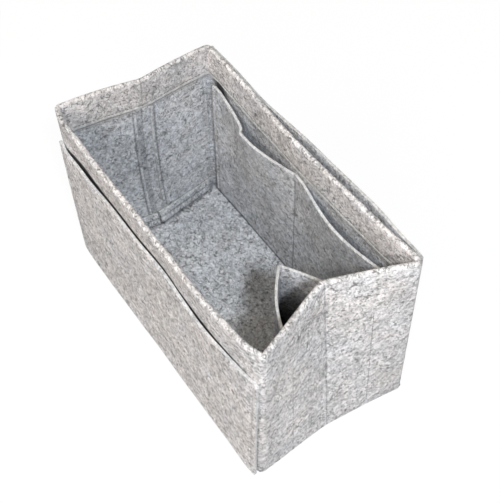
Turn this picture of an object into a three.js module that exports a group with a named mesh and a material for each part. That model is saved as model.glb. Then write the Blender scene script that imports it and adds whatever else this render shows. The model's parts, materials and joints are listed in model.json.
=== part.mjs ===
// Felt purse organizer insert: an open box sewn from thick felt, which folds flat on a crease in
// each end wall. Millimetres, +Z up. The origin lies on the ground under the middle of the insert.
// X runs along the long walls towards the near end, which holds the bottle pocket, and the front
// wall faces -Y.
import * as THREE from "three";

// Overall sizes
const LENGTH = 300;
const WIDTH = 156; // over both outer pockets, at the corners
const HEIGHT = 192;

// Felt and sewing
const FELT = 2.5;
const LAYER_GAP = 0.3; // clearance between layers that lie on each other
const THREAD_WIDTH = 0.8;
const THREAD_RISE = 0.5;
const EDGE_STITCH = 5; // from a cut edge to the stitch line beside it
const THREAD_STOP = 4; // a stitch line ends this far before the corner or crease that it runs to

// Hem: the top of each wall is turned over to the inside and stitched down
const HEM_DEPTH = 36;
const HEM_STITCH = 4; // stitch line above the hem's cut edge
const UPPER_HEM_STITCH = 17; // second stitch line of the near end, below the rim

// End walls: two leaves each, folded on a middle crease that is pushed in
const REST_FOLD = 11.5; // degrees that a leaf is turned in while the insert stands open

// Long walls and their outer pockets: how far their middles stand out of a straight line
const FRONT_BOW = 6;
const BACK_BOW = -3;
const RIM_FLARE = 4; // a wall's bow grows with this power of the height, so most of it lies near the rim
const POCKET_REACH = 8;
const FRONT_POCKET_DROP = 40; // mouth below the rim
const BACK_POCKET_DROP = 4;

// Inner pockets: one panel on each long wall, sewn down near its middle, so that it has two mouths
const MOUTH_DROP = 6; // mouth below the hem's cut edge
const INNER_POCKET_INSET = 8; // panel's ends before the corners
const DIVIDER_OFFSET = -6; // divider seam from the wall's middle
const FAR_MOUTH_GAPE = 14;
const NEAR_MOUTH_GAPE = 11;

// Slip pockets on the far end's leaves
const SLIP_FROM_CORNER = 8;
const SLIP_FROM_CREASE = 10;

// Bottle pocket: a strip of felt folded to a V and sewn to the near end's leaves
const BOTTLE_SIDE = 82; // seam to fold
const BOTTLE_SEAM = 32; // seam from the corner
const BOTTLE_BULGE = 4;
const BOTTLE_NOSE = 1; // how far the fold's outside runs on, in felt thicknesses

// Base margins: the floor's end edges, turned up against the leaves
const MARGIN_HEIGHT = 13;
const MARGIN_CLEAR = 6; // from the corner, and on the near end from the bottle pocket's seam

// Facets
const ALONG_STEP = 20;
const UP_STEP = 32;
const RIM_STEPS = 6;

const FELT_LOOK = { color: 0xbdb8b4, roughness: 0.95, metalness: 0 };
const FLOOR_LOOK = { color: 0xb4b4b4, roughness: 0.95, metalness: 0 };
const THREAD_LOOK = { color: 0xa5a19d, roughness: 0.8, metalness: 0 };

// Derived places
const LAYERS = 2 * FELT + LAYER_GAP; // a wall with its hem, or with a panel sewn on it
const LINING = FELT + LAYER_GAP; // first layer inside a wall, measured from the wall's outer face
const WALL_Y = WIDTH / 2 - LINING; // outer face of a long wall
const HINGE_Y = WALL_Y - LAYERS - LAYER_GAP; // inner corner line, where a leaf turns
const FOLD = THREE.MathUtils.degToRad(REST_FOLD);
const HINGE_X = LENGTH / 2 - LAYERS * Math.cos(FOLD);
const LEAF = (HINGE_Y - LAYERS * Math.sin(FOLD)) / Math.cos(FOLD); // corner line to crease, outside
const CREASE_SLANT = Math.tan(FOLD);
const HEM_EDGE = HEIGHT - HEM_DEPTH;
const MOUTH = HEM_EDGE - MOUTH_DROP;
const FLOOR_TOP = FELT;
const ON_FLOOR = FLOOR_TOP + LAYER_GAP;
const MARGIN_TOP = ON_FLOOR + MARGIN_HEIGHT;

/** Numbers from one end to the other in even steps no longer than step. */
function spaced(from, to, step) {
  const count = Math.max(1, Math.ceil(Math.abs(to - from) / step));
  return Array.from({ length: count + 1 }, (_, i) => from + ((to - from) * i) / count);
}

/**
 * A closed solid: a ribbon section carried along x. The section is a list of pairs of points [n, z],
 * one on each face of the ribbon, with n the distance inwards from the wall's outer face. bend(x, z)
 * moves the felt along n, and the last station leans by slant for each millimetre of n.
 */
function carried(section, stations, { bend = () => 0, slant = 0 } = {}) {
  const ring = [...section.map(([, inner]) => inner), ...section.map(([outer]) => outer).reverse()];
  const around = ring.length;
  const positions = [];
  stations.forEach((x, i) => {
    const lean = i === stations.length - 1 ? slant : 0;
    for (const [n, z] of ring) {
      positions.push(x + lean * n, n + bend(x, z), z);
    }
  });
  const faces = [];
  for (let i = 0; i + 1 < stations.length; i++) {
    for (let j = 0; j < around; j++) {
      const a = i * around + j;
      const b = i * around + ((j + 1) % around);
      faces.push(a, b, a + around, b, b + around, a + around);
    }
  }
  const last = (stations.length - 1) * around;
  for (let j = 0; j + 1 < section.length; j++) {
    const inner = j;
    const outer = around - 1 - j;
    faces.push(outer, inner + 1, inner, outer, outer - 1, inner + 1);
    faces.push(last + outer, last + inner, last + inner + 1);
    faces.push(last + outer, last + inner + 1, last + outer - 1);
  }
  const geometry = new THREE.BufferGeometry();
  geometry.setAttribute("position", new THREE.Float32BufferAttribute(positions, 3));
  geometry.setIndex(faces);
  geometry.computeVertexNormals();
  return geometry;
}

/** The section of a flat layer of felt, or of thread, between two heights. */
function layer(n, thickness, bottom, top) {
  return spaced(bottom, top, UP_STEP).map((z) => [
    [n, z],
    [n + thickness, z],
  ]);
}

/** The section of a wall: up from the ground, over the rim in a round and down inside as the hem. */
function hemmed() {
  const round = LAYERS / 2;
  const slit = LAYER_GAP / 2;
  const centre = HEIGHT - round;
  const section = layer(0, FELT, 0, centre);
  for (const turn of spaced(Math.PI, 0, Math.PI / RIM_STEPS).slice(1)) {
    section.push([
      [round + round * Math.cos(turn), centre + round * Math.sin(turn)],
      [round + slit * Math.cos(turn), centre + slit * Math.sin(turn)],
    ]);
  }
  section.push([
    [LAYERS, HEM_EDGE],
    [LINING, HEM_EDGE],
  ]);
  return section;
}

function piece(name, geometry, look = FELT_LOOK) {
  const mesh = new THREE.Mesh(geometry, new THREE.MeshStandardMaterial(look));
  mesh.name = name;
  return mesh;
}

/** A stitch line along x, at height z, with its near side at n. */
function threadAlong(name, n, z, stations, bend) {
  const section = layer(n, THREAD_RISE, z - THREAD_WIDTH / 2, z + THREAD_WIDTH / 2);
  return piece(name, carried(section, stations, { bend }), THREAD_LOOK);
}

/** A stitch line going up at x, with its near side at n. */
function threadUp(name, n, x, bottom, top, bend) {
  const section = layer(n, THREAD_RISE, bottom, top);
  return piece(name, carried(section, [x - THREAD_WIDTH / 2, x + THREAD_WIDTH / 2], { bend }), THREAD_LOOK);
}

const ON_WALL = -LAYER_GAP - THREAD_RISE; // a thread on a wall's outer face
const ON_LINING = LAYERS + LAYER_GAP; // a thread on the layer inside a wall
const ON_OUTER_POCKET = -LINING + ON_WALL;

/** One long wall in its own flat: x along it from the middle, y inwards from its outer face. */
function longWall(side, bow, pocketDrop) {
  const half = LENGTH / 2;
  const hemRun = spaced(THREAD_STOP - HINGE_X, HINGE_X - THREAD_STOP, ALONG_STEP);
  const stitched = spaced(EDGE_STITCH - half, half - EDGE_STITCH, ALONG_STEP);
  const arch = (x) => Math.cos((Math.PI * x) / LENGTH);
  const wallBend = (x, z) => -bow * arch(x) * (z / HEIGHT) ** RIM_FLARE;

  const pocketTop = HEIGHT - pocketDrop;
  const pocketBend = (x, z) => -POCKET_REACH * arch(x) * (z / pocketTop) ** 2;

  const panelEnd = half - INNER_POCKET_INSET;
  const gape = (x) => {
    const far = x < DIVIDER_OFFSET;
    const share = far
      ? (x + panelEnd) / (DIVIDER_OFFSET + panelEnd)
      : (x - DIVIDER_OFFSET) / (panelEnd - DIVIDER_OFFSET);
    return (far ? FAR_MOUTH_GAPE : NEAR_MOUTH_GAPE) * Math.sin(Math.PI * share) ** 2;
  };
  const innerBend = (x, z) => wallBend(x, z) + gape(x) * (z / MOUTH) ** 2;
  const farMouth = spaced(-panelEnd + EDGE_STITCH, DIVIDER_OFFSET, ALONG_STEP / 2);
  const nearMouth = spaced(DIVIDER_OFFSET, panelEnd - EDGE_STITCH, ALONG_STEP / 2);
  const panelStations = [-panelEnd, ...farMouth, ...nearMouth.slice(1), panelEnd];

  const wall = new THREE.Group();
  const outerPocket = layer(-LINING, FELT, 0, pocketTop);
  const innerPocket = layer(LINING, FELT, ON_FLOOR, MOUTH);
  wall.add(
    piece(`${side}_wall`, carried(hemmed(), [-half, ...hemRun, half], { bend: wallBend })),
    piece(`${side}_outer_pocket`, carried(outerPocket, [-half, ...stitched, half], { bend: pocketBend })),
    piece(`${side}_inner_pocket`, carried(innerPocket, panelStations, { bend: innerBend })),
  );

  const cornerStrip = layer(LINING, FELT, ON_FLOOR, HEM_EDGE - LAYER_GAP);
  for (const [end, towards] of [
    ["far", -1],
    ["near", 1],
  ]) {
    const ends = [towards * half, towards * (panelEnd + LAYER_GAP)].sort((a, b) => a - b);
    wall.add(piece(`${side}_${end}_corner_strip`, carried(cornerStrip, ends, { bend: wallBend })));
  }

  const pocketRun = [ON_FLOOR, MOUTH - THREAD_STOP];
  const stitches = { far: EDGE_STITCH - half, near: half - EDGE_STITCH };
  const panelStitches = {
    far: EDGE_STITCH - panelEnd,
    divider: DIVIDER_OFFSET,
    near: panelEnd - EDGE_STITCH,
  };
  wall.add(threadAlong(`${side}_hem_thread`, ON_LINING, HEM_EDGE + HEM_STITCH, hemRun, wallBend));
  for (const [end, x] of Object.entries(stitches)) {
    const name = `${side}_outer_pocket_${end}_thread`;
    wall.add(threadUp(name, ON_OUTER_POCKET, x, ON_FLOOR, pocketTop - THREAD_STOP, pocketBend));
  }
  for (const [seam, x] of Object.entries(panelStitches)) {
    wall.add(threadUp(`${side}_inner_pocket_${seam}_thread`, ON_LINING, x, ...pocketRun, innerBend));
  }
  return wall;
}

/** One leaf of an end wall in its own flat: x from the corner to the crease, y inwards from outside. */
function leafWall(end, side) {
  const leaf = new THREE.Group();
  const crease = LEAF - LAYER_GAP / 2 / Math.cos(FOLD);
  const name = `${end}_${side}`;
  const run = [THREAD_STOP, crease - THREAD_STOP];
  leaf.add(
    piece(`${name}_leaf`, carried(hemmed(), [0, crease], { slant: CREASE_SLANT })),
    threadAlong(`${name}_hem_thread`, ON_LINING, HEM_EDGE + HEM_STITCH, run),
  );
  return leaf;
}

function marginOn(leaf, name, to, slant) {
  const margin = layer(LINING, FELT, ON_FLOOR, MARGIN_TOP);
  const run = [MARGIN_CLEAR + THREAD_STOP, to - THREAD_STOP];
  leaf.add(
    piece(`${name}_base_margin`, carried(margin, [MARGIN_CLEAR, to], { slant })),
    threadAlong(`${name}_base_thread`, ON_LINING, (ON_FLOOR + MARGIN_TOP) / 2, run),
  );
}

/** A far end leaf, with its flat slip pocket above the base margin. */
function farLeaf(side) {
  const name = `far_${side}`;
  const leaf = leafWall("far", side);
  marginOn(leaf, name, LEAF - LAYER_GAP, CREASE_SLANT);
  const bottom = MARGIN_TOP + LAYER_GAP;
  const ends = [SLIP_FROM_CORNER, LEAF - SLIP_FROM_CREASE];
  leaf.add(piece(`${name}_slip_pocket`, carried(layer(LINING, FELT, bottom, MOUTH), ends)));
  const seams = { corner: ends[0] + EDGE_STITCH, crease: ends[1] - EDGE_STITCH };
  for (const [seam, x] of Object.entries(seams)) {
    const thread = `${name}_slip_${seam}_thread`;
    leaf.add(threadUp(thread, ON_LINING, x, bottom + EDGE_STITCH, MOUTH - THREAD_STOP));
  }
  return leaf;
}

/** A near end leaf, with one side of the bottle pocket standing on its seam. */
function nearLeaf(side) {
  const name = `near_${side}`;
  const leaf = leafWall("near", side);
  marginOn(leaf, name, BOTTLE_SEAM - MARGIN_CLEAR, 0);
  const run = [THREAD_STOP, LEAF - THREAD_STOP];
  leaf.add(
    threadAlong(`${name}_upper_hem_thread`, ON_WALL, HEIGHT - UPPER_HEM_STITCH, run),
    threadUp(`${name}_bottle_thread`, ON_WALL, BOTTLE_SEAM, ON_FLOOR, MOUTH - THREAD_STOP),
  );

  const seamY = HINGE_Y - BOTTLE_SEAM * Math.cos(FOLD) - (LAYERS - LINING) * Math.sin(FOLD);
  const opening = Math.asin((seamY - LAYER_GAP / 2) / BOTTLE_SIDE);
  const bulge = (x) => BOTTLE_BULGE * Math.sin((Math.PI * x) / BOTTLE_SIDE);
  const strip = carried(layer(0, FELT, ON_FLOOR, MOUTH), spaced(0, BOTTLE_SIDE, ALONG_STEP / 2), {
    bend: bulge,
    slant: BOTTLE_NOSE,
  });
  const seam = new THREE.Group();
  seam.position.set(BOTTLE_SEAM, LINING, 0);
  seam.rotation.z = Math.PI / 2 - opening - FOLD;
  seam.add(piece(`bottle_pocket_${side}`, strip));
  leaf.add(seam);
  return leaf;
}

/** Stands a leaf on its corner line, turned in by the resting fold. */
function hinged(leaf) {
  const corner = new THREE.Group();
  corner.position.set(HINGE_X, -HINGE_Y, 0);
  corner.rotation.z = Math.PI / 2 + FOLD;
  leaf.position.y = -LAYERS;
  corner.add(leaf);
  return corner;
}

/** The floor: it lies inside the walls, and its ends follow the creased end walls. */
function floorPanel() {
  const inset = (LAYERS - LINING) * Math.cos(FOLD);
  const edgeY = WALL_Y - LINING;
  const creaseX = LENGTH / 2 - LEAF * Math.sin(FOLD) - LINING / Math.cos(FOLD);
  const alongEdge = HINGE_X + inset + (edgeY - HINGE_Y + (LAYERS - LINING) * Math.sin(FOLD)) * CREASE_SLANT;
  const outline = new THREE.Shape();
  outline.moveTo(-alongEdge, -edgeY);
  outline.lineTo(alongEdge, -edgeY);
  outline.lineTo(creaseX, 0);
  outline.lineTo(alongEdge, edgeY);
  outline.lineTo(-alongEdge, edgeY);
  outline.lineTo(-creaseX, 0);
  outline.closePath();
  const panel = new THREE.ExtrudeGeometry(outline, { depth: FLOOR_TOP, bevelEnabled: false });
  return piece("base_panel", panel, FLOOR_LOOK);
}

const insert = new THREE.Group();
insert.add(floorPanel());

const front = longWall("front", FRONT_BOW, FRONT_POCKET_DROP);
front.position.y = -WALL_Y;
const back = longWall("back", BACK_BOW, BACK_POCKET_DROP);
back.position.y = WALL_Y;
back.scale.y = -1;
insert.add(front, back);

for (const [end, leafOf, towards] of [
  ["near", nearLeaf, 1],
  ["far", farLeaf, -1],
]) {
  for (const [side, facing] of [
    ["front", 1],
    ["back", -1],
  ]) {
    const quarter = new THREE.Group();
    quarter.scale.set(towards, facing, 1);
    quarter.add(hinged(leafOf(side)));
    insert.add(quarter);
  }
}

export default insert;
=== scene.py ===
import json
import math

import bmesh
import bpy
from bpy.props import FloatProperty, FloatVectorProperty, PointerProperty
from mathutils import Matrix, Vector


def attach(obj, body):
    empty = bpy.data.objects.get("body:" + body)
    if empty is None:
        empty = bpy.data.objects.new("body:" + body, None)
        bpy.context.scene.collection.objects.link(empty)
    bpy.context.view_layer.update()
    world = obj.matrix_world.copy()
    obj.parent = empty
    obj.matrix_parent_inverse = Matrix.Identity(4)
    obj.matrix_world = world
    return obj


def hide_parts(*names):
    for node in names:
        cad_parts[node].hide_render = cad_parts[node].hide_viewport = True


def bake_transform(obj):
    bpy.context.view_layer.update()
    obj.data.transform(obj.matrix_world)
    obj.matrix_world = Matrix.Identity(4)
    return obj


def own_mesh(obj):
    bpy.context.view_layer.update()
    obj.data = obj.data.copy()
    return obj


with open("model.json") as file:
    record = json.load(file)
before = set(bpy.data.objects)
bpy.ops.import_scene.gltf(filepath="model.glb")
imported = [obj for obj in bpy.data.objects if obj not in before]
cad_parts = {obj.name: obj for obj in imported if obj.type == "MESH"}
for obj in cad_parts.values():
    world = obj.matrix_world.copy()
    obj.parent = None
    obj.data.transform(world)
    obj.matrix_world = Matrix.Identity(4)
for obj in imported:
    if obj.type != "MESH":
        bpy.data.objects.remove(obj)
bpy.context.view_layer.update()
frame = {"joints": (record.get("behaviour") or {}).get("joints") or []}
JOINTS = {joint["name"]: joint["pos_m"] for joint in frame["joints"]}

bl_info = {
    "name": "Purse organizer insert",
    "version": (1, 0, 0),
    "blender": (4, 5, 0),
    "location": "View3D > Sidebar > Insert",
    "description": "A felt insert for a handbag, cut, sewn and stood on a studio floor",
    "category": "Object",
}

# Places and lengths in metres
HALF = 0.150  # half the insert's length
WALL_Y = 0.0752  # outer face of a long wall
HINGE = Vector([abs(part) for part in JOINTS["fold"]])  # inner corner line, where a leaf turns
AXIS_X = JOINTS["near_crease"][0]  # the CAD crease's place along the insert
LEAF_Y = 0.0685  # where a leaf's outer face leaves the corner round
HEM_EDGE = 0.1592  # height of a hem's cut edge
HEM_SEAM = 0.1625  # height of the stitches that hold a hem
LIP_ROWS = [0.1472 + 0.0008 * row for row in range(9)]  # close heights beside the front pocket's mouth, where the painted shade behind the pocket ends
CREASE_COLUMNS = [0.0, 0.0006, 0.0013, 0.0021, 0.0035, 0.006, 0.009]  # close places beside a crease
CREASE_ROUND = 0.0013  # how round an end wall's crease is
OUTER_MOUTHS = {-1: 0.152, 1: 0.188}  # height of the front and the back outer pocket
# How much each outer pocket is cut short, by its side and end
POCKET_SHORT = {(-1, -1): 0.0024, (-1, 1): 0.0, (1, -1): 0.0022, (1, 1): 0.006}
FOOT_ROUND = 0.006  # round of an outer pocket's lower corners
FOOT_ROWS = [0.0, 0.0008, 0.002, 0.0035, 0.0055]  # close heights in that round
MOUTH = 0.150  # height of the inner pockets and the bottle pocket
INNER_LOW = -0.1378  # the back inner pocket's range along the insert, the front one's end for end
INNER_HIGH = 0.1435
SLIP_WIDTH = 0.058  # a far slip pocket's width
SLIP_LOW = {-1: 0.006, 1: 0.0085}  # where the front and the back one start beside the crease
SLIP_HIGH = 0.0675  # where they end beside the corner
ON_FLOOR = 0.0028  # just above the floor's felt
MARGIN_TOP = 0.0158  # how high the floor's margins turn up
MARGIN_LOW = {1: 0.0435, -1: 0.0012}  # where a near and a far margin start
MARGIN_HIGH = 0.0635  # where a margin ends beside the corner
BOTTLE_SEAM = 0.0377  # where a bottle pocket's side meets its leaf
BOTTLE_NOSE = 0.0663  # where the two sides meet, along the insert
BOTTLE_BULGE = {-1: 0.0062, 1: 0.0026}  # how far the front and the back side swell
WAIST = {1: 0.084, -1: 0.070}  # where the floor's middle ends, on its mid line
EDGE_ROWS = [0.066, 0.0676, 0.0684, 0.0689, 0.0693, 0.0697]  # close places beside the floor's edge
END_COLUMNS = [0.86, 0.9, 0.93, 0.95, 0.97, 1.0]  # close shares of the way to an end wall
SEAM_STOP = 0.004  # how far below a mouth its stitches end
PROUD = 0.0001  # how far a row of stitches lies above the felt
SUNK = 0.0004  # how deep a hem's stitches sink in
FOLD_SPAN = 0.016  # half the strip of an end wall that bends when the insert folds
CORNER_ROUND = 0.0056  # outer radius in which the felt turns a far corner
CORNER_SPAN = 0.024  # how far each way from a far corner the felt bends when the insert folds
LEAF_JOIN = 0.042  # where the felt that turns a far corner meets the far end's
SEAM_SHADE = 0.72  # how near to black the painted shade at a hard seam leaves the felt
HIDDEN = 1.0 / SEAM_SHADE  # painted shade so dark that the felt is black, for felt deep behind a layer
# How far each corner stands out along the insert and across it, at its foot and at the rim
LEANS = {
    (-1, -1): (Vector((0.0, 0.0003, 0.0)), Vector((0.0094, 0.005, 0.0))),
    (1, -1): (Vector((-0.0005, 0.0016, 0.0)), Vector((0.0014, 0.0027, 0.0))),
    (-1, 1): (Vector((0.0, 0.0, 0.0)), Vector((-0.0003, -0.001, 0.0))),
    (1, 1): (Vector((0.0011, 0.0048, 0.0)), Vector((0.0008, 0.0022, 0.0))),
}
SIDES = {-1: "front", 1: "back"}
ENDS = {1: "near", -1: "far"}
CORNERS = [(end, side) for end in ENDS for side in SIDES]
# A cut's material slots, and the felts of its outer and inner faces; the inside felt is the same felt as
# the outside, darker and cooler as painted shade
OUTER, INNER, EDGE = 0, 1, 2
WALL_FACES = ("outside felt", "inside felt in painted shade")
LINING_FACES = ("inside felt in painted shade", "inside felt in painted shade")
HEM_PALE = 2  # rows of a hem that look like its cut edge


def length(name, description, default):
    return FloatProperty(name=name, description=description, default=default, unit="LENGTH")


def colour(name, description, default):
    return FloatVectorProperty(
        name=name, description=description, default=default, size=3, min=0.0, max=1.0, subtype="COLOR"
    )


class FeltSizes(bpy.types.PropertyGroup):
    """Sizes of the felt and how far its soft pieces stand out"""

    felt: length("Felt", "Thickness of the felt", 0.0025)
    gap: length("Layer gap", "Room between two layers", 0.0003)
    height: length("Height", "Ground to rim", 0.192)
    front_bow: length("Front bow", "How far the front rim bows out", 0.0105)
    back_bow: length("Back bow", "How far the back rim bows in", 0.0042)
    front_reach: length("Front pocket reach", "How far the front pocket's mouth stands out", 0.0066)
    back_reach: length("Back pocket reach", "How far the back pocket's mouth stands off its wall", 0.0067)
    stitch: length("Stitch", "Length of one stitch", 0.0026)
    stitch_step: length("Stitch step", "From one stitch to the next", 0.0035)
    thread: length("Thread", "Thickness of the sewing thread", 0.0008)
    near_crease_top: length("Near crease, top", "How far it is pushed in", 0.026)
    near_crease_foot: length("Near crease, foot", "How far it is pushed in", 0.0056)
    far_crease_top: length("Far crease, top", "How far it is pushed in", 0.0034)
    far_crease_foot: length("Far crease, foot", "How far it is pushed in", 0.0108)


class FeltColours(bpy.types.PropertyGroup):
    """Colours of the felt, its fibres and the thread"""

    outside: colour("Outside felt", "Face of the felt on the outside and the hems", (0.815, 0.778, 0.76))
    # The inside felt is the same felt as the outside, given a darker, cooler colour: painted shade and cool
    # light inside the insert
    inside: colour("Inside felt in painted shade", "Face of the felt inside the insert", (0.64, 0.645, 0.66))
    fibre: colour("Fibre", "Dark fibres in the felt", (0.13, 0.125, 0.12))
    edge: colour("Cut edge", "Pale cut edges of the felt", (0.74, 0.73, 0.71))
    thread: colour("Thread", "Sewing thread", (0.24, 0.23, 0.22))
    pale_thread: colour("Pale thread", "Thread of the seams that hardly show", (0.46, 0.45, 0.44))
    floor: colour("Studio floor", "Pale floor under the insert", (0.5, 0.5, 0.5))


def sizes():
    return bpy.context.scene.insert_sizes


def colours():
    return bpy.context.scene.insert_colours


def leaf_name(end, side):
    return f"{ENDS[end]}_{SIDES[side]}"


# Numbers and places


def mix(a, b, share):
    return a + (b - a) * share


def clamp(share):
    return min(1.0, max(0.0, share))


def ease(share):
    share = clamp(share)
    return share * share * (3.0 - 2.0 * share)


def hump(place, middle, reach):
    """1 at the middle, falling smoothly to nothing on both sides."""
    return math.exp(-(((place - middle) / reach) ** 2))


def spaced(start, end, step):
    count = max(1, math.ceil(abs(end - start) / step))
    return [start + (end - start) * i / count for i in range(count + 1)]


def risers(foot, top, step):
    """Heights from foot to top, closer together at the foot."""
    return [foot, foot + 0.0008, foot + 0.002] + spaced(foot + 0.005, top, step)


def mirrored(half):
    """Places on both sides of 0, from those on one side."""
    return [-place for place in reversed(half)] + half[1:]


def around(places, lines, reach=0.0018):
    """The places with a narrow set added on each stitch line, so that the felt can dip there."""
    kept = [p for p in places if all(abs(p - line) > 1.5 * reach for line in lines)]
    extra = [line + reach * part for line in lines for part in (-1.0, -0.45, 0.0, 0.45, 1.0)]
    ends = [places[0], places[-1]]
    return sorted(set(kept + extra + ends))


def dip(place, lines, deep=0.0006, reach=0.0018):
    """How deep the thread pulls the felt in, near a stitch line."""
    return sum(deep * (1.0 - ease(abs(place - line) / reach)) for line in lines)


def hem_seam_shade(z):
    """How dark the painted shade is along a hem's stitch line, where the thread sinks in."""
    return dip(z, [HEM_SEAM], 0.6, 0.0012)


def far_hem_shade(inward):
    """How dark the painted shade is on the far hem, inward being the depth below the wall's outer face."""
    return 0.2 * ease((inward - 0.0026) / 0.0012)


def ripple(along, up, phase):
    """The felt's own slight unevenness."""
    slow = math.sin(along * 41.0 + phase) * math.sin(up * 33.0 + 1.7 * phase)
    quick = math.sin(along * 97.0 + 2.3 * phase) * math.sin(up * 71.0 + phase)
    return 0.0004 * slow + 0.0002 * quick


def arch(x):
    """1 at the insert's middle, falling to 0 at its ends."""
    return math.cos(math.pi * min(1.0, max(-1.0, x / HALF)) / 2.0)


def fullness(x):
    """1 along a wall, falling to 0 where it turns a corner."""
    return 1.0 - clamp(abs(x) / (HALF - CORNER_ROUND)) ** 7


def swelling(x):
    """A shallow bulge in the near half of the front."""
    return hump(x, 0.075, 0.033)


def mouth_drop(x):
    """How far the front pocket's mouth sags, in the near half."""
    return 0.004 * ease((x - 0.012) / 0.035) * (1.0 - ease((x - 0.108) / 0.025))


def face_lift():
    """From the middle of the felt to stitches on its face."""
    return sizes().felt / 2.0 + PROUD


def lean(point):
    """Moves a point with the corner of the insert nearest to it, which leans more towards the rim."""
    end = 1 if point.x > 0.0 else -1
    side = 1 if point.y > 0.0 else -1
    foot, rim = LEANS[end, side]
    out = foot.lerp(rim, clamp(point.z / sizes().height)) * clamp(abs(point.y) / HINGE.y)
    along = out.x * ease((abs(point.x) - 0.03) / 0.095)
    across = out.y * ease((abs(point.x) - 0.105) / 0.04)
    return point + Vector((end * along, side * across, 0.0))


def rim_centre():
    """The height about which the felt turns over at the rim."""
    s = sizes()
    return s.height - s.felt - s.gap / 2.0


def hem_section():
    """The wall's mid line as (inwards, up) pairs: up the wall, over the rim and down the hem."""
    s = sizes()
    turn = (s.felt + s.gap) / 2.0
    centre = rim_centre()
    up = sorted(around(spaced(0.0, centre, 0.012), [HEM_SEAM]) + LIP_ROWS)
    section = [(s.felt / 2.0, z) for z in up]
    for i in range(1, 9):
        angle = math.pi * (1.0 - i / 8.0)
        section.append((s.felt / 2.0 + turn + turn * math.cos(angle), centre + turn * math.sin(angle)))
    down = around(spaced(HEM_EDGE, centre, 0.008), [HEM_SEAM])
    section += [(s.felt / 2.0 + 2.0 * turn, z) for z in reversed(down[:-1])]
    return section


def drawn(row):
    """A point of the hem section, with the wall and its hem drawn together by the stitches."""
    inward, z = row
    pull = dip(z, [HEM_SEAM], 0.0005)
    return inward + (pull if inward < sizes().felt else -pull), z


def bow(side, x, z):
    """How far a long wall bows out: side is -1 at the front and 1 at the back."""
    s = sizes()
    up = max(0.0, z / s.height)
    if side < 0:
        out = s.front_bow * fullness(x) * up**3.8
        out += 0.0015 * swelling(x) * ease(z / 0.13) * (1.0 - 0.5 * ease((z - 0.15) / 0.042))
    else:
        out = -s.back_bow * arch(x) ** 2 * up**2
        out += 0.0024 * hump(x, -0.13, 0.012) * hump(z, 0.148, 0.02)
    return out + ripple(x, z, 1.3 + side) * fullness(x)


def wall_place(side, x, inward, z):
    """A point of a long wall, inward being its depth below the outer face."""
    return lean(Vector((x, side * (WALL_Y - inward + bow(side, x, z)), z)))


def crease_depth(end, z):
    """How far an end's crease is pushed in."""
    s = sizes()
    if end > 0:
        return mix(s.near_crease_foot, s.near_crease_top, z / s.height)
    return mix(s.far_crease_foot, s.far_crease_top, 1.0 - max(0.0, 1.0 - z / s.height) ** 3)


def crease_shift(end, z):
    """How far across the insert the far crease wanders, most of all midway up."""
    return -0.0018 - 0.0026 * math.sin(math.pi * z / sizes().height) if end < 0 else 0.0


def upright_end(end, y, inward, z):
    """A point of an end wall before its corners lean: end is 1 at the near end and -1 at the far end."""
    depth = crease_depth(end, z)
    from_crease = math.sqrt(y * y + CREASE_ROUND**2) - 0.35 * CREASE_ROUND
    slope = math.hypot(1.0, depth / LEAF_Y)
    from_corner = 1.0 - clamp(abs(y) / LEAF_Y)
    bulge = (0.001 if y > 0.0 else 0.0019) * (z / sizes().height) ** 2 if end < 0 else -0.0004
    out = bulge * math.sin(math.pi * from_corner) + ripple(y, z, 4.1 * end)
    x = HALF - depth * (1.0 - from_crease / LEAF_Y) - inward * slope + out
    return Vector((end * x, y + crease_shift(end, z) * from_corner, z))


def end_place(end, y, inward, z):
    return lean(upright_end(end, y, inward, z))


def wrap_columns(side):
    """Columns of a long wall's felt, from the near corner along the wall and round the far corner."""
    wall = [("wall", x) for x in spaced(HINGE.x, CORNER_ROUND - HALF, 0.008)]
    turn = [("turn", angle) for angle in spaced(0.0, 90.0, 12.0)[1:]]
    leaf = [("leaf", y) for y in spaced(WALL_Y - CORNER_ROUND, LEAF_JOIN, 0.007)[1:]]
    columns = wall + turn + leaf
    return columns if side > 0 else columns[::-1]


def wrap_place(side, column, inward, z):
    """A point of the felt that runs along a long wall and round its far corner."""
    part, along = column
    if part == "wall":
        return wall_place(side, along, inward, z)
    if part == "leaf":
        return end_place(-1, side * along, inward, z)
    radius = CORNER_ROUND - inward
    angle = math.radians(along)
    x = CORNER_ROUND - HALF - radius * math.sin(angle)
    y = WALL_Y - CORNER_ROUND + radius * math.cos(angle)
    return lean(Vector((x, side * y, z)))


def far_turn(side):
    """The two bodies between which felt bends at a far corner, and where the bend starts and ends."""
    start = (CORNER_SPAN - HALF, side * WALL_Y, 0.0)
    end = (-HALF, side * (WALL_Y - CORNER_SPAN), 0.0)
    return SIDES[side], leaf_name(-1, side), start, end


def end_crease(end):
    """The two leaves between which felt bends at an end's crease, and where the bend starts and ends."""
    start = (end * AXIS_X, -FOLD_SPAN, 0.0)
    return leaf_name(end, -1), leaf_name(end, 1), start, (end * AXIS_X, FOLD_SPAN, 0.0)


def leaf_body(end, side):
    """What carries felt on a leaf: a near leaf, or the turn of a far corner."""
    return leaf_name(end, side) if end > 0 else far_turn(side)


# Making and finishing pieces


def dress(piece, *names):
    """Gives the piece its materials: outer face, inner face and cut edges."""
    for name in names:
        piece.data.materials.append(bpy.data.materials[name])
    return piece


def smooth(piece, angle=38.0):
    bpy.ops.object.shade_smooth_by_angle(angle=math.radians(angle))
    return piece


def flip():
    """Turns the faces of the piece just made the other way."""
    bpy.ops.object.mode_set(mode="EDIT")
    bpy.ops.mesh.select_all(action="SELECT")
    bpy.ops.mesh.flip_normals()
    bpy.ops.object.mode_set(mode="OBJECT")


def apply_modifiers(piece):
    for modifier in list(piece.modifiers):
        bpy.ops.object.modifier_apply(modifier=modifier.name)


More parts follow.
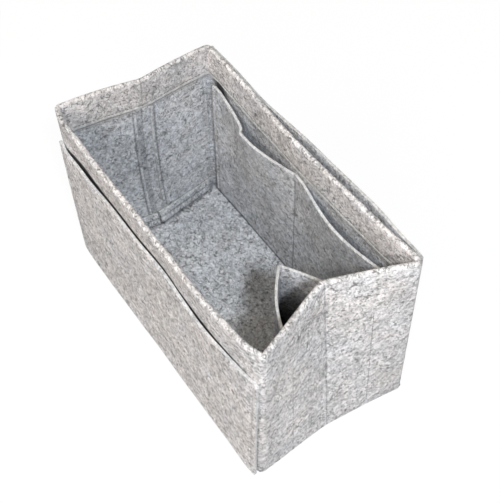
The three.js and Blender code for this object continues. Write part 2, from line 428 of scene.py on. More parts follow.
def grid(name, columns, rows, place, shade_rule=None, pale=0):
    """A sheet of columns by rows, each crossing set in its place. Its face looks along columns x rows.

    Its shade rule gives how dark the painted shade is there, from 0 to 1: at seams, creases, the feet of
    pieces and felt hidden behind a layer.
    The last pale rows look like a cut edge.
    """
    bpy.ops.object.select_all(action="DESELECT")
    across, up = len(columns) - 1, len(rows) - 1
    bpy.ops.mesh.primitive_grid_add(x_subdivisions=across, y_subdivisions=up, size=1.0)
    sheet = bpy.context.object
    sheet.name = name
    sheet.data.name = name
    painted_shade = sheet.data.attributes.new("painted_shade", "FLOAT", "POINT")
    for face in sheet.data.polygons:
        face.material_index = EDGE if face.center.y > 0.5 - pale / up else OUTER
    for vertex in sheet.data.vertices:
        column = columns[round((vertex.co.x + 0.5) * across)]
        row = rows[round((vertex.co.y + 0.5) * up)]
        vertex.co = place(column, row)
        if shade_rule:
            painted_shade.data[vertex.index].value = min(1.0, SEAM_SHADE * max(0.0, shade_rule(column, row)))
    return sheet


def thicken(sheet, felt=None, edge=0.0005, offset=0.0, joined=None):
    """Gives a sheet the felt's thickness and softens its edges, but not where it joins its neighbour."""
    solid = sheet.modifiers.new("felt", "SOLIDIFY")
    solid.thickness = felt or sizes().felt
    solid.offset = offset
    solid.material_offset = INNER
    solid.material_offset_rim = EDGE
    apply_modifiers(sheet)
    mesh = bmesh.new()
    mesh.from_mesh(sheet.data)
    weight = mesh.edges.layers.float.new("bevel_weight_edge")
    for each in mesh.edges:
        runs_on = joined is not None and all(joined(vertex.co) for vertex in each.verts)
        each[weight] = float(each.calc_face_angle(0.0) > math.radians(60.0) and not runs_on)
    mesh.to_mesh(sheet.data)
    mesh.free()
    soft = sheet.modifiers.new("cut edge", "BEVEL")
    soft.width = edge
    soft.segments = 2
    soft.limit_method = "WEIGHT"
    apply_modifiers(sheet)
    return sheet


def cut(name, columns, rows, place, faces, shade_rule, joined=None, pale=0):
    """A cut of felt with its outer and inner faces and pale edges."""
    sheet = dress(grid(name, columns, rows, place, shade_rule, pale), *faces, "felt cut edge")
    return smooth(thicken(sheet, joined=joined))


def shade(piece, slot, rule):
    """Paints shade on the faces in one material slot: rule says how dark the painted shade is at a point.
    """
    painted_shade = piece.data.attributes["painted_shade"].data
    for face in piece.data.polygons:
        if face.material_index == slot:
            for index in face.vertices:
                value = min(1.0, SEAM_SHADE * rule(piece.data.vertices[index].co))
                painted_shade[index].value = max(painted_shade[index].value, value)


def sew_seams(name, seams, dark, place, out, heights, body):
    """Upright rows of stitches on a pocket's face, the dark seam's in the darker thread."""
    for seam, along in seams.items():
        tint = "sewing thread" if seam == dark else "pale thread"
        stitches(f"{name}_{seam}", [place(along, z) + out for z in heights], body, tint)


def sewn(piece, body, slot, *nodes):
    """The piece moves with its body, or, set between two bodies, keeps its place baked into its mesh, and
    hides the CAD nodes it stands for.
    """
    if isinstance(body, tuple):
        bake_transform(piece)
    else:
        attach(piece, body)
    if nodes:
        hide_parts(*nodes)


def stitches(seam, points, body, tint, node_name=None):
    """A run of stitches along the points: one stitch, repeated and laid along the line."""
    s = sizes()
    name = f"{seam}_stitches"
    line = bpy.data.curves.new(f"{name}_line", "CURVE")
    line.dimensions = "3D"
    spline = line.splines.new("POLY")
    spline.points.add(len(points) - 1)
    for point, place in zip(spline.points, points):
        point.co = (*place, 1.0)
    path = bpy.data.objects.new(f"{name}_line", line)
    bpy.context.collection.objects.link(path)
    bpy.ops.object.select_all(action="DESELECT")
    bpy.ops.mesh.primitive_uv_sphere_add(segments=6, ring_count=6, radius=0.5)
    run = bpy.context.object
    run.name = name
    run.data.name = name
    middle = (0.0, 0.0, 0.0)
    bpy.ops.object.mode_set(mode="EDIT")
    bpy.ops.mesh.select_all(action="SELECT")
    bpy.ops.transform.rotate(value=math.pi / 2.0, orient_axis="Y", center_override=middle)
    bpy.ops.transform.resize(value=(s.stitch, s.thread, s.thread), center_override=middle)
    bpy.ops.transform.translate(value=(s.stitch_step / 2.0, 0.0, 0.0))
    bpy.ops.object.mode_set(mode="OBJECT")
    row = run.modifiers.new("row", "ARRAY")
    row.use_relative_offset = False
    row.use_constant_offset = True
    row.constant_offset_displace = (s.stitch_step, 0.0, 0.0)
    row.count = max(1, int(sum((b - a).length for a, b in zip(points, points[1:])) / s.stitch_step))
    lay = run.modifiers.new("lay", "CURVE")
    lay.object = path
    lay.deform_axis = "POS_X"
    apply_modifiers(run)
    bpy.data.objects.remove(path)
    bpy.data.curves.remove(line)
    smooth(dress(run, tint))
    sewn(run, body, "thread", node_name or f"{seam}_thread")


# Materials


def wire(tree, made, inputs):
    """Gives each named input of a node a value or another node's output."""
    for name, value in inputs.items():
        if isinstance(value, bpy.types.NodeSocket):
            tree.links.new(value, made.inputs[name])
        else:
            made.inputs[name].default_value = value


def node(tree, kind, inputs=None, **values):
    made = tree.nodes.new(kind)
    for name, value in values.items():
        setattr(made, name, value)
    wire(tree, made, inputs or {})
    return made


def new_material(name):
    """Makes a material, and returns its node tree and its shader."""
    material = bpy.data.materials.new(name)
    material.use_nodes = True
    return material.node_tree, material.node_tree.nodes["Principled BSDF"]


def felt_group():
    """Needle felt: a cloudy tone, fine grain and scattered dark fibres."""
    tree = bpy.data.node_groups.new("needle felt", "ShaderNodeTree")
    taken = {"Vector": "Vector", "Felt": "Color", "Fibre": "Color", "Fibres": "Float", "Cloud": "Float"}
    for way, kinds in (("INPUT", taken), ("OUTPUT", {"Color": "Color", "Height": "Float"})):
        for name, kind in kinds.items():
            tree.interface.new_socket(name=name, in_out=way, socket_type=f"NodeSocket{kind}")
    given = node(tree, "NodeGroupInput").outputs

    def noise(scale, detail, rough, distortion=0.0, stretch=(1.0, 1.0, 1.0), turn=(0.6, 0.4, 0.9)):
        laid = {"Vector": given["Vector"], "Rotation": turn, "Scale": stretch}
        look = {
            "Vector": node(tree, "ShaderNodeMapping", laid).outputs["Vector"],
            "Scale": scale,
            "Detail": detail,
            "Roughness": rough,
            "Distortion": distortion,
        }
        return node(tree, "ShaderNodeTexNoise", look).outputs["Fac"]

    def ramp(value, low, high, to_low, to_high):
        ends = {"Value": value, "From Min": low, "From Max": high, "To Min": to_low, "To Max": to_high}
        return node(tree, "ShaderNodeMapRange", ends, interpolation_type="SMOOTHSTEP").outputs["Result"]

    def maths(operation, a, b):
        return node(tree, "ShaderNodeMath", {0: a, 1: b}, operation=operation).outputs["Value"]

    def scaled(vector, share):
        inputs = {0: vector, "Scale": share}
        return node(tree, "ShaderNodeVectorMath", inputs, operation="SCALE").outputs["Vector"]

    def tufts(scale, turn):
        """Short dark tufts, longer than wide, lying one way."""
        return ramp(noise(scale, 2.0, 0.55, 0.9, (0.42, 1.0, 1.0), turn), 0.6, 0.78, 0.0, 1.0)

    def hairs(scale, turn, width, patch):
        """Thin curling hairs where a slow noise crosses its middle, broken into short lengths."""
        middle = maths("SUBTRACT", noise(scale, 1.0, 0.5, 0.6, (0.7, 1.0, 1.0), turn), 0.5)
        line = ramp(maths("ABSOLUTE", middle, 0.0), 0.0, width, 1.0, 0.0)
        broken = ramp(noise(patch, 1.0, 0.5, 0.0, (1.1, 0.9, 1.0), turn), 0.48, 0.6, 0.0, 1.0)
        return maths("MULTIPLY", line, broken)

    grain = noise(900.0, 3.0, 0.65)
    fine = noise(430.0, 2.0, 0.6, 0.3)
    cloud = noise(200.0, 4.0, 0.66, 0.4)
    drift = noise(38.0, 2.0, 0.5)
    warmth = noise(26.0, 1.0, 0.5, 0.5, turn=(0.1, 1.4, 0.6))
    dark = hairs(120.0, (0.9, 0.3, 0.5), 0.034, 150.0)
    for fibres in (
        hairs(170.0, (0.2, 1.1, 1.9), 0.04, 190.0),
        hairs(220.0, (1.3, 0.6, 2.6), 0.045, 240.0),
        tufts(300.0, (0.3, 0.7, 0.2)),
        tufts(330.0, (1.2, 0.2, 1.1)),
    ):
        dark = maths("MAXIMUM", dark, fibres)
    tone = maths("ADD", ramp(cloud, 0.32, 0.68, -0.46, 0.46), ramp(grain, 0.3, 0.7, -0.3, 0.3))
    tone = maths("ADD", tone, ramp(fine, 0.3, 0.7, -0.4, 0.4))
    tone = maths("ADD", tone, ramp(drift, 0.3, 0.7, -0.2, 0.2))

    shaded = scaled(given["Felt"], maths("ADD", maths("MULTIPLY", tone, given["Cloud"]), 1.0))
    warm = scaled((0.014, 0.0, -0.014), ramp(warmth, 0.3, 0.7, -1.0, 1.0))
    tinted = node(tree, "ShaderNodeVectorMath", {0: shaded, 1: warm, 2: shaded}, operation="MULTIPLY_ADD")
    both = {
        "Factor": maths("MULTIPLY", dark, given["Fibres"]),
        "A": tinted.outputs["Vector"],
        "B": given["Fibre"],
    }
    fibred = node(tree, "ShaderNodeMix", both, data_type="RGBA")
    height = maths("ADD", maths("MULTIPLY", grain, 0.5), maths("MULTIPLY", cloud, 0.8))
    height = maths("ADD", height, maths("MULTIPLY", dark, 0.3))
    node(tree, "NodeGroupOutput", {"Color": fibred.outputs["Result"], "Height": height})
    return tree


def felt_material(name, group, felt, fibre, fibres, cloud, bump):
    tree, shader = new_material(name)
    look = {
        "Vector": node(tree, "ShaderNodeTexCoord").outputs["Object"],
        "Felt": (*felt, 1.0),
        "Fibre": (*fibre, 1.0),
        "Fibres": fibres,
        "Cloud": cloud,
    }
    felted = node(tree, "ShaderNodeGroup", look, node_tree=group).outputs
    # Painted shade: the attribute darkens the felt towards a dark blue-grey at seams, creases, feet and
    # felt hidden behind a layer
    seams = node(tree, "ShaderNodeAttribute", attribute_name="painted_shade")
    tones = {"Factor": seams.outputs["Fac"], "A": felted["Color"], "B": (0.083, 0.083, 0.097, 1.0)}
    darker = node(tree, "ShaderNodeMix", tones, data_type="RGBA", blend_type="MULTIPLY")
    relief = {"Strength": bump, "Distance": 0.0012, "Height": felted["Height"]}
    finish = {
        "Base Color": darker.outputs["Result"],
        "Roughness": 0.95,
        "Specular IOR Level": 0.15,
        "Sheen Weight": 0.08,
        "Sheen Roughness": 0.6,
        "Normal": node(tree, "ShaderNodeBump", relief).outputs["Normal"],
    }
    wire(tree, shader, finish)


def thread_material(name, tint):
    """Spun thread: fine twisted bands on a matte strand."""
    tree, shader = new_material(name)
    bands = {"Vector": node(tree, "ShaderNodeTexCoord").outputs["Object"], "Scale": 500.0}
    twist = node(tree, "ShaderNodeTexWave", bands, bands_direction="DIAGONAL").outputs["Fac"]
    tones = {"Factor": twist, "A": (*[0.72 * part for part in tint], 1.0), "B": (*tint, 1.0)}
    relief = {"Strength": 0.4, "Distance": 0.0002, "Height": twist}
    finish = {
        "Base Color": node(tree, "ShaderNodeMix", tones, data_type="RGBA").outputs["Result"],
        "Roughness": 0.7,
        "Sheen Weight": 0.2,
        "Normal": node(tree, "ShaderNodeBump", relief).outputs["Normal"],
    }
    wire(tree, shader, finish)


class INSERT_OT_materials(bpy.types.Operator):
    """Mix the felts and the thread"""

    bl_idname = "insert.materials"
    bl_label = "Felts and thread"

    def execute(self, context):
        c = colours()
        group = felt_group()
        felt_material("outside felt", group, c.outside, c.fibre, 0.85, 0.5, 0.6)
        felt_material("inside felt in painted shade", group, c.inside, c.fibre, 0.85, 0.5, 0.6)
        felt_material("felt cut edge", group, c.edge, c.fibre, 0.25, 0.30, 0.7)
        thread_material("sewing thread", c.thread)
        thread_material("pale thread", c.pale_thread)
        return {"FINISHED"}


# Pieces


class INSERT_OT_long_walls(bpy.types.Operator):
    """Front and back walls, with the top edge turned in as a hem"""

    bl_idname = "insert.long_walls"
    bl_label = "Long walls"

    def shade_behind_front_pocket(self, point):
        """How dark the painted shade is on the front wall behind its outer pocket, though not at the
        pocket's ends.
        """
        ends = ease((point.x + 0.146) / 0.003) * ease((0.142 - point.x) / 0.04)
        return HIDDEN * ease((LIP_ROWS[-1] - mouth_drop(point.x) - point.z) / 0.0016) * ends

    def shade_behind_back_pocket(self, point):
        """How dark the painted shade is on the back wall behind the far end of its inner pocket."""
        ends = ease((point.x + 0.1415) / 0.002) * ease((-0.114 - point.x) / 0.016)
        return HIDDEN * ease((HEM_EDGE - point.z) / 0.002) * ends

    def wall(self, side, name):
        def place(column, row):
            return wrap_place(side, column, *drawn(row))

        # Painted shade along the hem's stitches, and on the far hem
        def shade_rule(column, row):
            far_shade = 0.0 if column[0] == "wall" else far_hem_shade(row[0])
            return max(hem_seam_shade(row[1]), far_shade)

        def joined(point):
            return point.x < -0.1 and abs(point.y) < LEAF_JOIN + 0.0035

        columns, rows = wrap_columns(side), hem_section()
        wall = cut(f"{name}_wall_felt", columns, rows, place, WALL_FACES, shade_rule, joined, HEM_PALE)
        if side < 0:
            shade(wall, OUTER, self.shade_behind_front_pocket)
        else:
            shade(wall, INNER, self.shade_behind_back_pocket)
        sewn(wall, far_turn(side), "wall_felt", f"{name}_wall", f"{name}_far_corner_strip")

    def execute(self, context):
        for side, name in SIDES.items():
            self.wall(side, name)
        return {"FINISHED"}


class INSERT_OT_end_walls(bpy.types.Operator):
    """Near and far end walls, each creased down its middle"""

    bl_idname = "insert.end_walls"
    bl_label = "End walls"

    def shade_beside_crease(self, point):
        """How dark the painted shade is in the fold on the front side of the far end's crease, below the
        hem.
        """
        y = point.y - crease_shift(-1, point.z)
        return 0.4 * ease((0.012 + y) / 0.003) * ease(-y / 0.001) if point.z < HEM_EDGE else 0.0

    def wall(self, end, name):
        def place(y, row):
            return end_place(end, y, *drawn(row))

        # Painted shade along the hem's stitches, along the crease, and on the far hem
        def shade_rule(y, row):
            crease = 0.6 * (1.0 - ease(abs(y) / 0.0012))
            far_shade = far_hem_shade(row[0]) if end < 0 else 0.0
            return max(hem_seam_shade(row[1]), crease, far_shade)

        def joined(point):
            return end < 0 and abs(point.y) > LEAF_JOIN - 0.001

        edge = HINGE.y if end > 0 else LEAF_JOIN
        columns = [end * y for y in mirrored(CREASE_COLUMNS + spaced(0.013, edge, 0.007))]
        wall = cut(f"{name}_end_felt", columns, hem_section(), place, WALL_FACES, shade_rule, joined, HEM_PALE)
        if end < 0:
            shade(wall, INNER, self.shade_beside_crease)
        sewn(wall, end_crease(end), "wall_felt", f"{name}_front_leaf", f"{name}_back_leaf")

    def execute(self, context):
        for end, name in ENDS.items():
            self.wall(end, name)
        return {"FINISHED"}


class INSERT_OT_corners(bpy.types.Operator):
    """The rounds in which the felt turns each near corner, one moving with the wall and one with the end"""

    bl_idname = "insert.corners"
    bl_label = "Corner rounds"

    def round_of(self, name, side, radius, first, last):
        """A round from the ground to the rim, closed over at the top, between two angles in degrees."""
        rim = radius / 2.0
        centre = rim_centre()
        profile = [(radius, z) for z in spaced(0.0, centre, 0.012)]
        for i in range(1, 10):
            angle = math.pi * i / 10.0
            profile.append((rim + rim * math.cos(angle), centre + rim * math.sin(angle)))
        profile.append((0.0001, centre))
        angles = spaced(math.radians(first), math.radians(last), math.radians(12.0))
        if side > 0:
            angles.reverse()

        def place(angle, row):
            r, z = row
            y = -HINGE.y + r * math.sin(angle)
            return lean(Vector((HINGE.x + r * math.cos(angle), -side * y, z)))

        shell = grid(name, angles, profile, place)
        dress(shell, "outside felt", "outside felt", "outside felt")
        return smooth(thicken(shell, felt=0.0007, edge=0.0001, offset=-1.0), 60.0)

    def execute(self, context):
        for side, name in SIDES.items():
            cover = self.round_of(f"near_{name}_corner_felt", side, 0.0053, -90.0, 4.0)
            sewn(cover, f"near_{name}", "wall_felt")
            under = self.round_of(f"near_{name}_corner_lining", side, 0.0045, -92.0, -20.0)
            sewn(under, name, "wall_felt", f"{name}_near_corner_strip")
        return {"FINISHED"}


class INSERT_OT_outer_pockets(bpy.types.Operator):
    """The slip pocket on the outside of each long wall"""

    bl_idname = "insert.outer_pockets"
    bl_label = "Outer pockets"

    def stand_off(self, side, x, up):
        """How far the pocket stands off its wall, up being 0 at the ground and 1 at the mouth."""
        s = sizes()
        if side > 0:
            return s.back_reach * ease((x + 0.08) / 0.085) * (1.0 - ease((x - 0.075) / 0.085)) * up**2
        mouth = s.front_reach * (1.0 - 0.2 * ease((x + 0.03) / 0.08)) * fullness(x) + 0.0012 * swelling(x)
        mouth += 0.0006 * hump(x, -0.09, 0.025) - 0.0015 * hump(x, -0.02, 0.044)
        foot = mix(0.0031, 0.0047, (x + HALF) / (2.0 * HALF)) * (1.0 - 0.6 * (x / 0.152) ** 10)
        foot *= 0.4 + 0.6 * ease(up / 0.03)
        return mix(foot, mouth, up**2)

    def pocket(self, side, name):
        s = sizes()
        seam = HALF - 0.005
        tapered = HALF - 0.012
        top = OUTER_MOUTHS[side]

        def place(x, z):
            short = POCKET_SHORT[side, 1 if x > 0.0 else -1]
            if z < FOOT_ROUND:
                short += FOOT_ROUND - math.sqrt(FOOT_ROUND**2 - (FOOT_ROUND - z) ** 2)
            x_cut = x - math.copysign(short * ease((abs(x) - tapered) / (HALF - tapered)), x)
            off = s.gap + s.felt / 2.0 + self.stand_off(side, x, z / top) - dip(abs(x), [seam], 0.0004)
            if side > 0:
                off += bow(side, x, z)
            else:
                wave = 0.0006 * math.sin(0.2 - 62.0 * x) * (z / top) ** 3
                off += (ripple(x, z, 2.2) + wave) * arch(x)
                z -= mouth_drop(x) * (z / top) ** 4
            return lean(Vector((x_cut, side * (WALL_Y + off), z)))

        # Painted shade along the side seams
        def shade_rule(x, z):
            return dip(abs(x), [seam], 0.15)

        columns = [-side * x for x in around(spaced(-HALF, HALF, 0.0075), [-seam, seam])]
        rows = FOOT_ROWS + spaced(0.008, top, 0.009)
        panel = cut(f"{name}_outer_pocket_felt", columns, rows, place, WALL_FACES, shade_rule)
        for vertex in panel.data.vertices:
            vertex.co.z = max(0.0, vertex.co.z)
        body = far_turn(side)
        sewn(panel, body, "pocket_felt", f"{name}_outer_pocket")
        out = Vector((0.0, side * face_lift(), 0.0))
        heights = spaced(ON_FLOOR, top - SEAM_STOP, 0.012)
        sew_seams(f"{name}_outer_pocket", {"far": -seam, "near": seam}, None, place, out, heights, body)

    def execute(self, context):
        for side, name in SIDES.items():
            self.pocket(side, name)
        return {"FINISHED"}


class INSERT_OT_inner_pockets(bpy.types.Operator):
    """The pocket panel inside each long wall, sewn down near its middle"""

    bl_idname = "insert.inner_pockets"
    bl_label = "Inner pockets"

    def mouth_gape(self, x, up):
        """How far the pocket stands off its wall, up being 0 at the ground and 1 at the mouth."""
        rise = clamp((x + 0.118) / 0.0405)
        far = 0.0026 + 0.0066 * rise**1.6 + 0.004 * ease((x + 0.0795) / 0.005)
        far *= 1.0 - clamp((x + 0.06) / 0.055) ** 1.5
        near = 0.0107 * math.sin(math.pi * clamp((x - 0.002) / 0.139)) ** 1.2
        return far * up ** mix(3.4, 2.2, rise) + near * up**2.2

    def pocket(self, side, name):
        s = sizes()
        foot = ON_FLOOR + 0.0008
        seams = {"far": INNER_LOW + 0.003, "divider": -0.006, "near": INNER_HIGH - 0.005}
        lines = list(seams.values())
        opened = 1.0 if side > 0 else 0.3

        def place(x, z):
            gape = opened * self.mouth_gape(x, z / MOUTH)
            point = wall_place(side, x, 1.5 * s.felt + s.gap + gape - dip(x, lines, 0.0007), z)
            point.z -= 0.0004 * math.sin(x * 52.0 + 0.6) * (z / MOUTH) ** 6
            return point

        # Painted shade along the divider seam and at the pocket's foot
        def shade_rule(x, z):
            return max(dip(x, [seams["divider"]], 0.7), 1.0 - ease((z - foot) / 0.0014))

        columns = [side * x for x in around(spaced(INNER_LOW, INNER_HIGH, 0.005), lines)]
        rows = risers(foot, MOUTH, 0.0075)
        panel = cut(f"{name}_inner_pocket_felt", columns, rows, place, LINING_FACES, shade_rule)
        sewn(panel, name, "pocket_felt", f"{name}_inner_pocket")
        out = Vector((0.0, -side * face_lift(), 0.0))
        heights = spaced(ON_FLOOR, MOUTH - SEAM_STOP, 0.012)
        sew_seams(f"{name}_inner_pocket", seams, "divider", place, out, heights, name)

    def execute(self, context):
        for side, name in SIDES.items():
            self.pocket(side, name)
        return {"FINISHED"}


class INSERT_OT_slip_pockets(bpy.types.Operator):
    """The two slip pockets on the far end's leaves"""

    bl_idname = "insert.slip_pockets"
    bl_label = "Far end slip pockets"

    def pocket(self, side, name):
        s = sizes()
        bottom = MARGIN_TOP + s.gap
        top = HEM_EDGE - 0.0012
        seams = {"crease": 0.003, "corner": SLIP_WIDTH - 0.0024}
        lines = list(seams.values())

        def place(along, z):
            gape = 0.0008 * math.sin(math.pi * along / SLIP_WIDTH) * (z / MOUTH) ** 3
            inward = 1.5 * s.felt + s.gap + gape - dip(along, lines, 0.0006)
            y = side * mix(SLIP_LOW[side], SLIP_HIGH, along / SLIP_WIDTH)
            return end_place(-1, y, inward, z)

        # Painted shade along the crease seam and at the pocket's top and foot
        def shade_rule(along, z):
            ends = 1.0 - ease(min(z - bottom, top - z) / 0.002)
            return max(dip(along, [seams["crease"]], 0.85), 0.7 * ends)

        columns = around(spaced(0.0, SLIP_WIDTH, 0.006), lines)[::side]
        rows = risers(bottom, top - 0.0024, 0.0085) + [top - 0.0008, top]
        panel = cut(f"far_{name}_slip_felt", columns, rows, place, LINING_FACES, shade_rule)
        body = end_crease(-1)
        sewn(panel, body, "pocket_felt", f"far_{name}_slip_pocket")
        out = Vector((face_lift(), 0.0, 0.0))
        heights = spaced(bottom + 0.005, MOUTH - SEAM_STOP, 0.012)
        sew_seams(f"far_{name}_slip", seams, "crease", place, out, heights, body)

    def execute(self, context):
        for side, name in SIDES.items():
            self.pocket(side, name)
        return {"FINISHED"}


class INSERT_OT_margins(bpy.types.Operator):
    """The floor's end margins, turned up against the end walls"""

    bl_idname = "insert.margins"
    bl_label = "Base margins"

    def margin(self, end, side):
        s = sizes()
        name = leaf_name(end, side)
        low = MARGIN_LOW[end]
        high = MARGIN_TOP - ON_FLOOR
        seam = (ON_FLOOR + MARGIN_TOP) / 2.0

        def place(y, z):
            up = (z - ON_FLOOR) / high
            turned = mix(0.004, 0.0012, up) if end < 0 else mix(0.0008, 0.0, up)
            return end_place(end, y, 1.5 * s.felt + s.gap + turned - dip(z, [seam], 0.0006), z)

        # Painted shade along the seam and at the margin's foot
        def shade_rule(y, z):
            return max(dip(z, [seam], 0.75), 0.8 * (1.0 - ease((z - ON_FLOOR) / 0.002)))

        columns = [side * y for y in spaced(low, MARGIN_HIGH, 0.006)]
        rows = around(spaced(ON_FLOOR, MARGIN_TOP, 0.003), [seam])
        margin = cut(f"{name}_margin_felt", columns, rows, place, LINING_FACES, shade_rule)
        body = leaf_body(end, side)
        sewn(margin, body, "floor_felt", f"{name}_base_margin")
        out = Vector((end * face_lift(), 0.0, 0.0))
        line = [place(side * y, seam) - out for y in spaced(low + 0.004, MARGIN_HIGH - 0.004, 0.01)]
        stitches(f"{name}_margin", line, body, "sewing thread", f"{name}_base_thread")

    def execute(self, context):
        for end, side in CORNERS:
            self.margin(end, side)
        return {"FINISHED"}


class INSERT_OT_bottle_pocket(bpy.types.Operator):
    """The two sides of the bottle pocket, a strip folded to a V"""

    bl_idname = "insert.bottle_pocket"
    bl_label = "Bottle pocket"

    def shade_deep_inside(self, point):
        """How dark the painted shade is inside the pocket, towards its foot."""
        return 1.2 * ease((0.118 - point.z) / 0.05)

    def pocket_side(self, side, name):
        s = sizes()

        def place(share, z):
            seam = end_place(1, side * BOTTLE_SEAM, s.felt + s.gap + 0.0008, z)
            nose = Vector((BOTTLE_NOSE + 0.002 * (1.0 - z / MOUTH), 0.0, z))
            along = (nose - seam).normalized()
            out = Vector((-along.y, along.x, 0.0)) * -side
            swell = BOTTLE_BULGE[side] * math.sin(math.pi * share) ** 0.9 * (0.7 + 0.3 * z / MOUTH)
            wave = Vector((0.0, 0.0, 0.0008 * math.sin(7.0 * share + side)))
            return seam.lerp(nose, share) + out * swell + wave

        columns, rows = spaced(0.0, 1.0, 0.06), spaced(ON_FLOOR, MOUTH, 0.009)
        sheet = grid(f"bottle_pocket_{name}_felt", columns, rows, place)
        if side < 0:
            flip()
        thicken(dress(sheet, *LINING_FACES, "felt cut edge"))
        for vertex in sheet.data.vertices:
            if vertex.co.y * side < 0.0006:
                vertex.co.y = side * 0.00003
        shade(sheet, INNER, self.shade_deep_inside)
        smooth(sheet)
        sewn(sheet, f"bottle_{name}", "pocket_felt", f"bottle_pocket_{name}")
        y = side * (BOTTLE_SEAM + 0.0005)
        line = [end_place(1, y, -PROUD, z) for z in spaced(0.008, MOUTH - 0.006, 0.012)]
        tint = "sewing thread" if side > 0 else "pale thread"
        stitches(f"near_{name}_bottle", line, f"near_{name}", tint)

    def execute(self, context):
        for side, name in SIDES.items():
            self.pocket_side(side, name)
        return {"FINISHED"}


class INSERT_OT_base(bpy.types.Operator):
    """The floor of the insert: its middle, and the four ends that tuck in when it folds"""

    bl_idname = "insert.base"
    bl_label = "Floor"

    def border(self, end, y):
        """Where the middle meets an end, along the insert."""
        return end * mix(WAIST[end], HINGE.x, clamp(abs(y) / HINGE.y))

    def edge_shade(self, share, y):
        """How dark the painted shade is at the floor's edge, under the long walls, all along."""
        return ease((abs(y) - 0.0689) / 0.0009)

    def finished(self, sheet):
        dress(sheet, "inside felt in painted shade", "inside felt in painted shade", "inside felt in painted shade")
        return smooth(thicken(sheet, edge=0.0001))

    def middle(self, half):
        def place(share, y):
            x = mix(self.border(-1, y), self.border(1, y), share)
            return lean(Vector((x, y, sizes().felt / 2.0)))

        columns = spaced(0.0, 1.0, 0.04)
        floor = self.finished(grid("base_felt", columns, mirrored(half), place, self.edge_shade))
        sewn(floor, "front", "floor_felt", "base_panel")
        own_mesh(floor)

    def tucked_end(self, half, end, side):
        s = sizes()
        edge = half[-1]

        def inner_face(y):
            return upright_end(end, y, s.felt + s.gap, 0.0).x

        def place(share, outward):
            y = side * outward * edge
            in_round = 0.0013 * ease((abs(y) - 0.0688) / 0.0008) if end > 0 else 0.0
            x = mix(self.border(end, y), inner_face(y) + in_round, share)
            return lean(Vector((x, y + side * in_round * ease(share / 0.3), s.felt / 2.0)))

        # Painted shade where the end lies under an end wall, and along the floor's edge
        def shade_rule(share, outward):
            y = side * outward * edge
            under = 0.0068 if end < 0 else 0.0036
            left = (1.0 - share) * abs(inner_face(y) - self.border(end, y)) - under
            return 0.85 * max(1.0 - ease(left / 0.0022), self.edge_shade(share, y))

        columns = spaced(0.0, 0.8, 0.1) + END_COLUMNS
        rows = [y / edge for y in half]
        sheet = grid(f"base_{leaf_name(end, side)}_felt", columns, rows, place, shade_rule)
        if end * side < 0:
            flip()
        self.finished(sheet)
        sewn(sheet, SIDES[side], "floor_felt")
        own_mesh(sheet)
        reach = abs(inner_face(0.0)) - WAIST[end]

    def execute(self, context):
        s = sizes()
        half = spaced(0.0, 0.063, 0.006) + EDGE_ROWS + [WALL_Y - s.felt - s.gap]
        self.middle(half)
        for end, side in CORNERS:
            self.tucked_end(half, end, side)
        return {"FINISHED"}


class INSERT_OT_hem_stitches(bpy.types.Operator):
    """The stitch lines that hold the hems"""

    bl_idname = "insert.hem_stitches"
    bl_label = "Hem stitches"

    def execute(self, context):
        s = sizes()
        inward = 2.0 * s.felt + s.gap - SUNK
        for side, name in SIDES.items():
            run = spaced(0.004 - HINGE.x, HINGE.x - 0.004, 0.01)
            line = [wall_place(side, x, inward, HEM_SEAM) for x in run]
            stitches(f"{name}_hem", line, far_turn(side), "sewing thread")
        for end, side in CORNERS:
            name = leaf_name(end, side)
            run = spaced(0.005 if end > 0 else 0.0085, 0.0645, 0.01)
            line = [end_place(end, side * y, inward, HEM_SEAM) for y in run]
            stitches(f"{name}_hem", line, leaf_body(end, side), "sewing thread")
            if end > 0:
                line = [end_place(end, side * y, -PROUD, mix(0.178, 0.166, y / LEAF_Y)) for y in run]
                stitches(f"{name}_upper_hem", line, name, "pale thread")
        return {"FINISHED"}


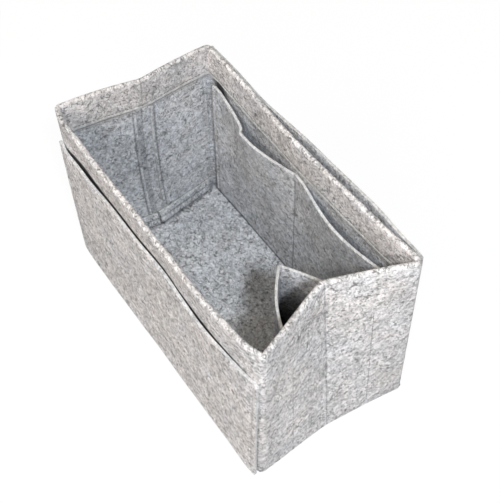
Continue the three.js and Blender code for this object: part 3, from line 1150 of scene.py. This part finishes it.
class INSERT_OT_stage(bpy.types.Operator):
    """Studio floor, lights and camera"""

    bl_idname = "insert.stage"
    bl_label = "Studio"

    def seen(self, tree):
        """1 where the camera sees a surface, straight or by a gloss."""
        light = node(tree, "ShaderNodeLightPath").outputs
        total = light["Is Camera Ray"]
        for other in ("Is Glossy Ray", "Is Transmission Ray"):
            most = node(tree, "ShaderNodeMath", {0: total, 1: light[other]}, operation="MAXIMUM")
            total = most.outputs["Value"]
        return total

    def floor(self):
        bpy.ops.object.select_all(action="DESELECT")
        bpy.ops.mesh.primitive_plane_add(size=8.0, location=(0.0, 0.0, 0.0))
        floor = bpy.context.object
        floor.name = "studio_floor"
        tree, shader = new_material("studio floor")
        wire(tree, shader, {"Base Color": (*colours().floor, 1.0), "Roughness": 0.9})
        glow = node(tree, "ShaderNodeEmission", {"Strength": 1.1})
        share = node(tree, "ShaderNodeMath", {0: self.seen(tree), 1: 0.86}, operation="MULTIPLY")
        layers = {"Fac": share.outputs["Value"], 1: shader.outputs["BSDF"], 2: glow.outputs["Emission"]}
        both = node(tree, "ShaderNodeMixShader", layers)
        wire(tree, tree.nodes["Material Output"], {"Surface": both.outputs["Shader"]})
        dress(floor, "studio floor")

    def world(self):
        world = bpy.data.worlds.new("studio")
        bpy.context.scene.world = world
        world.use_nodes = True
        tree = world.node_tree
        dim = tree.nodes["Background"]
        wire(tree, dim, {"Color": (1.0, 1.0, 1.0, 1.0), "Strength": 0.085})
        white = node(tree, "ShaderNodeBackground", {"Color": (1.0, 1.0, 1.0, 1.0)})
        layers = {"Fac": self.seen(tree), 1: dim.outputs["Background"], 2: white.outputs["Background"]}
        both = node(tree, "ShaderNodeMixShader", layers)
        wire(tree, tree.nodes["World Output"], {"Surface": both.outputs["Shader"]})

    def lamp(self, name, place, size, power, tint):
        lamp = bpy.data.lights.new(name, "AREA")
        lamp.shape = "DISK"
        lamp.size = size
        lamp.energy = power
        lamp.color = tint
        stand = bpy.data.objects.new(name, lamp)
        bpy.context.collection.objects.link(stand)
        stand.location = place
        aim = Vector((0.0, 0.0, 0.1)) - Vector(place)
        stand.rotation_euler = aim.to_track_quat("-Z", "Y").to_euler()

    def camera(self):
        place = (0.4852, -0.3131, 0.8653)
        yaw, rise, roll = math.radians(55.81), math.radians(53.08), math.radians(-0.33)
        back = Vector((math.cos(rise) * math.sin(yaw), -math.cos(rise) * math.cos(yaw), math.sin(rise)))
        level = Vector((math.cos(yaw), math.sin(yaw), 0.0))
        right = math.cos(roll) * level + math.sin(roll) * back.cross(level)
        lens = bpy.data.cameras.new("camera")
        lens.lens = 78.04
        lens.sensor_width = 36.0
        lens.sensor_fit = "AUTO"
        camera = bpy.data.objects.new("camera", lens)
        bpy.context.collection.objects.link(camera)
        turned = Matrix((right, back.cross(right), back)).transposed().to_4x4()
        camera.matrix_world = Matrix.Translation(place) @ turned
        bpy.context.scene.camera = camera

    def execute(self, context):
        context.scene.view_settings.view_transform = "Standard"
        self.floor()
        self.world()
        self.lamp("key softbox", (1.25, -0.45, 1.8), 0.2, 28.4, (0.86, 0.925, 1.0))
        self.lamp("right softbox", (1.2, -1.1, 1.1), 0.8, 9.9, (1.0, 0.97, 0.96))
        self.lamp("front softbox", (0.1, -1.4, 1.6), 1.0, 11.3, (1.0, 0.94, 0.877))
        self.lamp("overhead softbox", (-0.2, 0.1, 1.9), 1.2, 5.0, (1.0, 0.9, 0.74))
        self.camera()
        return {"FINISHED"}


class INSERT_PT_panel(bpy.types.Panel):
    """Sizes, colours and pieces of the insert"""

    bl_idname = "INSERT_PT_panel"
    bl_label = "Purse organizer insert"
    bl_space_type = "VIEW_3D"
    bl_region_type = "UI"
    bl_category = "Insert"

    def draw(self, context):
        for group in (context.scene.insert_sizes, context.scene.insert_colours):
            box = self.layout.box()
            for name in type(group).__annotations__:
                box.prop(group, name)
        for operator in OPERATORS:
            self.layout.operator(operator.bl_idname)


OPERATORS = (
    INSERT_OT_materials,
    INSERT_OT_long_walls,
    INSERT_OT_end_walls,
    INSERT_OT_corners,
    INSERT_OT_outer_pockets,
    INSERT_OT_inner_pockets,
    INSERT_OT_slip_pockets,
    INSERT_OT_margins,
    INSERT_OT_bottle_pocket,
    INSERT_OT_base,
    INSERT_OT_hem_stitches,
    INSERT_OT_stage,
)
CLASSES = (FeltSizes, FeltColours, *OPERATORS, INSERT_PT_panel)


def register():
    for each in CLASSES:
        bpy.utils.register_class(each)
    bpy.types.Scene.insert_sizes = PointerProperty(type=FeltSizes)
    bpy.types.Scene.insert_colours = PointerProperty(type=FeltColours)


def unregister():
    del bpy.types.Scene.insert_colours
    del bpy.types.Scene.insert_sizes
    for each in reversed(CLASSES):
        bpy.utils.unregister_class(each)


def main():
    register()
    bpy.ops.insert.materials()
    bpy.ops.insert.long_walls()
    bpy.ops.insert.end_walls()
    bpy.ops.insert.corners()
    bpy.ops.insert.outer_pockets()
    bpy.ops.insert.inner_pockets()
    bpy.ops.insert.slip_pockets()
    bpy.ops.insert.margins()
    bpy.ops.insert.bottle_pocket()
    bpy.ops.insert.base()
    bpy.ops.insert.hem_stitches()
    bpy.ops.insert.stage()


if __name__ == "__main__":
    main()
